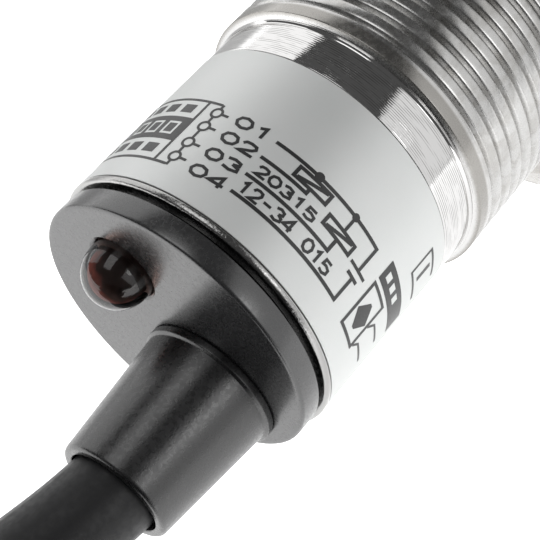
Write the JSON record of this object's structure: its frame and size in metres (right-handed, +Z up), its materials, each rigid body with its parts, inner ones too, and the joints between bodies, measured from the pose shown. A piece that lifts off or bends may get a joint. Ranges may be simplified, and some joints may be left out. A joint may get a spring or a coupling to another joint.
{
  "type": "photoelectric sensor",
  "caption": "Tubular threaded photoelectric sensor, cable type, with rear indicator, offset strain relief, mounting nuts, toothed washers and a coiled free cable.",
  "frame": {"origin": "on the ground under the middle of the sensor, which lies on the flats of its two nuts; the free cable is not counted", "axes": "+X along the optical axis from the cable end to the lens, +Z up"},
  "size_m": [0.1557, 0.067, 0.0313],
  "materials": {
    "nickel_plate": "turned brass tube, bright nickel plate",
    "hardware_plate": "nickel-plated brass, satin",
    "spring_steel": "zinc-plated spring steel",
    "label_foil": "satin silver foil with dark print",
    "black_plastic": "black moulded plastic, satin",
    "black_pvc": "soft black PVC",
    "seal_rubber": "matt black seal",
    "board": "green solder mask",
    "chip": "black moulded chip body",
    "ceramic": "fired ceramic",
    "tantalum": "yellow moulded body",
    "resin": "poured resin",
    "tinned_copper": "tinned copper",
    "crimp_brass": "plain brass",
    "clear_lens": "clear moulded plastic",
    "red_window": "red transparent plastic, polished",
    "polariser": "grey polarising film",
    "core_brown": "brown insulation",
    "core_black": "black insulation",
    "core_white": "white insulation",
    "core_blue": "blue insulation"
  },
  "bodies": {
    "sensor": {"barrel": "nickel_plate", "label_foil": "label_foil", "rear_cap": "black_plastic", "rear_seal": "seal_rubber", "indicator_lens": "clear_lens", "indicator_anode": "tinned_copper", "indicator_cathode": "tinned_copper", "strain_relief": "black_pvc", "cable_crimp": "crimp_brass", "cable_inside": "black_pvc", "potting_disc": "resin", "main_board": "board", "optics_board": "board", "input_capacitor": "tantalum", "protection_diode_1": "chip", "protection_diode_2": "chip", "voltage_regulator": "chip", "output_transistor_1": "chip", "output_transistor_2": "chip", "signal_chip": "chip", "amplifier_chip": "chip", "ceramic_capacitor_1": "ceramic", "ceramic_capacitor_2": "ceramic", "resistor_1": "chip", "resistor_2": "chip", "resistor_3": "chip", "resistor_4": "chip", "optics_holder": "black_plastic", "light_barrier": "black_plastic", "emitter_lens": "clear_lens", "receiver_lens": "clear_lens", "emitter_polariser": "polariser", "receiver_polariser": "polariser", "emitter_led": "red_window", "receiver_diode": "chip", "front_bezel": "black_plastic", "front_seal": "seal_rubber", "front_window": "red_window", "cable_lead": "black_pvc", "cable_coil": "black_pvc", "cable_tail": "black_pvc", "coil_strap": "black_pvc", "inner_core_brown": "core_brown", "core_brown": "core_brown", "core_tip_brown": "tinned_copper", "inner_core_black": "core_black", "core_black": "core_black", "core_tip_black": "tinned_copper", "inner_core_white": "core_white", "core_white": "core_white", "core_tip_white": "tinned_copper", "inner_core_blue": "core_blue", "core_blue": "core_blue", "core_tip_blue": "tinned_copper"},
    "rear_washer": {"rear_washer": "spring_steel"},
    "rear_nut": {"rear_nut": "hardware_plate"},
    "front_washer": {"front_washer": "spring_steel"},
    "front_nut": {"front_nut": "hardware_plate"}
  },
  "joints": [
    {"name": "rear_nut_travel", "type": "slide", "parent": "sensor", "child": "rear_washer", "axis": [1, 0, 0], "range_m": [-0.01, 0.004]},
    {"name": "rear_nut_spin", "type": "hinge", "parent": "rear_washer", "child": "rear_nut", "pos_m": [-0.0015, 0, 0.012], "axis": [1, 0, 0], "range_deg": [-3600, 1440]},
    {"name": "front_nut_travel", "type": "slide", "parent": "sensor", "child": "front_washer", "axis": [1, 0, 0], "range_m": [-0.006, 0.016]},
    {"name": "front_nut_spin", "type": "hinge", "parent": "front_washer", "child": "front_nut", "pos_m": [0.01605, 0, 0.012], "axis": [1, 0, 0], "range_deg": [-2160, 5760]}
  ],
  "couplings": [
    {"joint": "rear_nut_travel", "follows": "rear_nut_spin", "m_per_rad": 0.00015915},
    {"joint": "front_nut_travel", "follows": "front_nut_spin", "m_per_rad": 0.00015915}
  ]
}
